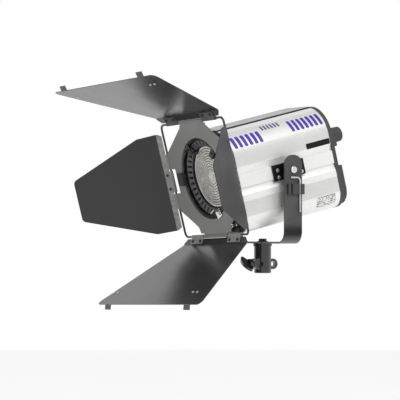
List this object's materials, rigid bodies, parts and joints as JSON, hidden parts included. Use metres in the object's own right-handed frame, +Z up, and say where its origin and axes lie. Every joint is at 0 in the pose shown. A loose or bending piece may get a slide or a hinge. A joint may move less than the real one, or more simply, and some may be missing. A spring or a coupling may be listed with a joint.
{
  "type": "fresnel spotlight",
  "caption": "Fresnel spotlight on a yoke: silver extruded housing, stepped lens in a toothed black ring, a wire frame with hinged barn doors, and a spigot receiver below.",
  "frame": {"origin": "centre of the mouth of the stand-spigot socket, at the bottom of the receiver", "axes": "+Z up along the socket, the lamp shines towards -Y and nods 13.7 degrees down at rest, +X is the side with the stored hex key"},
  "size_m": [0.4927, 0.4758, 0.4216],
  "materials": {
    "yoke_paint": "satin powder coat",
    "cast_black": "satin black",
    "zinc": "bright zinc",
    "black_plastic": "matt",
    "key_steel": "black oxide",
    "silver_extrusion": "satin anodised",
    "dark_sheet": "matt black",
    "cover_paint": "satin light grey",
    "cast_ring": "matt black",
    "cap_plastic": "matt dark grey",
    "clear_glass": "clear",
    "nickel": "bright nickel",
    "knob_plastic": "matt grey",
    "ground_steel": "ground",
    "plain_aluminium": "plain",
    "led_yellow": "phosphor",
    "mirror_cup": "bright",
    "fan_plastic": "matt",
    "board": "solder mask",
    "supply_case": "potted",
    "display_glass": "tinted",
    "door_paint": "satin dark grey",
    "plate_paint": "satin mid grey",
    "nylon": "natural"
  },
  "bodies": {
    "stand_yoke": {"yoke": "yoke_paint", "spigot_receiver": "cast_black", "receiver_bolt": "zinc", "hex_key_clip": "black_plastic"},
    "grip_screw": {"wing_screw": "cast_black"},
    "stored_key": {"hex_key": "key_steel"},
    "head": {"side_shell_left": "silver_extrusion", "side_shell_right": "silver_extrusion", "top_tray": "dark_sheet", "top_cover": "cover_paint", "bottom_panel": "dark_sheet", "front_bezel": "dark_sheet", "rear_cap": "cap_plastic", "rear_grille": "cap_plastic", "tilt_brackets": "dark_sheet", "tilt_bolts": "nickel", "friction_washers": "nylon", "bracket_screws": "zinc", "housing_screws": "zinc", "lens": "clear_glass", "lens_ring": "cast_ring", "accessory_lugs": "black_plastic", "lens_clamps": "black_plastic", "guide_rods": "ground_steel", "fan_frame": "fan_plastic", "power_supply": "supply_case", "control_board": "board", "display_window": "display_glass", "mains_inlet": "black_plastic", "data_sockets": "black_plastic"},
    "latch": {"accessory_latch": "nickel"},
    "lock": {"lock_knob": "knob_plastic"},
    "carriage": {"led_heat_sink": "plain_aluminium", "led_module": "led_yellow", "led_reflector": "mirror_cup"},
    "focus": {"focus_knob": "knob_plastic", "lead_screw": "ground_steel"},
    "fan": {"fan_rotor": "fan_plastic"},
    "dimmer": {"dimmer_knob": "knob_plastic"},
    "button_1": {"menu_button_1": "black_plastic"},
    "button_2": {"menu_button_2": "black_plastic"},
    "button_3": {"menu_button_3": "black_plastic"},
    "switch": {"power_switch": "black_plastic"},
    "barn_frame": {"wire_frame": "zinc", "door_plate": "plate_paint", "mount_ring": "plate_paint"},
    "top_door": {"top_leaf": "door_paint", "top_hinges": "zinc", "top_hinge_screws": "key_steel", "top_gel_clips": "dark_sheet"},
    "left_door": {"left_leaf": "door_paint", "left_hinges": "zinc", "left_hinge_screws": "zinc"},
    "bottom_door": {"bottom_leaf": "door_paint", "bottom_hinges": "zinc", "bottom_hinge_screws": "key_steel", "bottom_gel_clips": "dark_sheet"},
    "right_door": {"right_leaf": "door_paint", "right_hinges": "zinc", "right_hinge_screws": "zinc"}
  },
  "joints": [
    {"name": "head_tilt", "type": "hinge", "parent": "stand_yoke", "child": "head", "pos_m": [0, 0, 0.189], "axis": [-1, 0, 0], "range_deg": [-16, 48]},
    {"name": "grip_turn", "type": "hinge", "parent": "stand_yoke", "child": "grip_screw", "pos_m": [0, -0.03, 0.017], "axis": [0, -1, 0], "range_deg": [-180, 180]},
    {"name": "key_slide", "type": "slide", "parent": "stand_yoke", "child": "stored_key", "axis": [1, 0, 0], "range_m": [0, 0.008]},
    {"name": "barn_turn", "type": "hinge", "parent": "head", "child": "barn_frame", "pos_m": [0, -0.12507, 0.17344], "axis": [0, -0.9715, -0.2368], "continuous": true},
    {"name": "top_door_swing", "type": "hinge", "parent": "barn_frame", "child": "top_door", "pos_m": [-0.00318, -0.15047, 0.27764], "axis": [-0.9996, 0.007, -0.0288], "range_deg": [-50, 90]},
    {"name": "left_door_swing", "type": "hinge", "parent": "barn_frame", "child": "left_door", "pos_m": [-0.11545, -0.12426, 0.17011], "axis": [0.0297, 0.2367, -0.9711], "range_deg": [-57, 82]},
    {"name": "bottom_door_swing", "type": "hinge", "parent": "barn_frame", "child": "bottom_door", "pos_m": [0.00318, -0.09967, 0.06923], "axis": [0.9996, -0.007, 0.0288], "range_deg": [-43, 67]},
    {"name": "right_door_swing", "type": "hinge", "parent": "barn_frame", "child": "right_door", "pos_m": [0.11545, -0.12588, 0.17676], "axis": [-0.0297, -0.2367, 0.9711], "range_deg": [-67, 72]},
    {"name": "latch_press", "type": "slide", "parent": "head", "child": "latch", "axis": [-0.4226, -0.2146, 0.8805], "range_m": [0, 0.008], "stiffness_N_per_m": 300, "springref_m": -0.003},
    {"name": "lock_turn", "type": "hinge", "parent": "head", "child": "lock", "pos_m": [0.049, -0.08887, 0.08911], "axis": [0, -0.9715, -0.2368], "range_deg": [-180, 180]},
    {"name": "carriage_slide", "type": "slide", "parent": "head", "child": "carriage", "axis": [0, -0.9715, -0.2368], "range_m": [-0.028, 0.028]},
    {"name": "focus_turn", "type": "hinge", "parent": "head", "child": "focus", "pos_m": [0.069, 0.10759, 0.25434], "axis": [0, -0.9715, -0.2368], "range_deg": [-510, 510]},
    {"name": "fan_spin", "type": "hinge", "parent": "head", "child": "fan", "pos_m": [0, 0.10319, 0.16681], "axis": [0, -0.9715, -0.2368], "continuous": true},
    {"name": "dimmer_turn", "type": "hinge", "parent": "head", "child": "dimmer", "pos_m": [-0.064, 0.10273, 0.25316], "axis": [0, -0.9715, -0.2368], "range_deg": [-140, 140]},
    {"name": "switch_rock", "type": "hinge", "parent": "head", "child": "switch", "pos_m": [-0.042, 0.09735, 0.24567], "axis": [1, 0, 0], "range_deg": [0, 10]},
    {"name": "button_1_press", "type": "slide", "parent": "head", "child": "button_1", "axis": [0, -0.9715, -0.2368], "range_m": [0, 0.0012], "stiffness_N_per_m": 400, "springref_m": -0.001},
    {"name": "button_2_press", "type": "slide", "parent": "head", "child": "button_2", "axis": [0, -0.9715, -0.2368], "range_m": [0, 0.0012], "stiffness_N_per_m": 400, "springref_m": -0.001},
    {"name": "button_3_press", "type": "slide", "parent": "head", "child": "button_3", "axis": [0, -0.9715, -0.2368], "range_m": [0, 0.0012], "stiffness_N_per_m": 400, "springref_m": -0.001}
  ],
  "couplings": [
    {"joint": "focus_turn", "follows": "carriage_slide", "rad_per_m": 314.16}
  ]
}
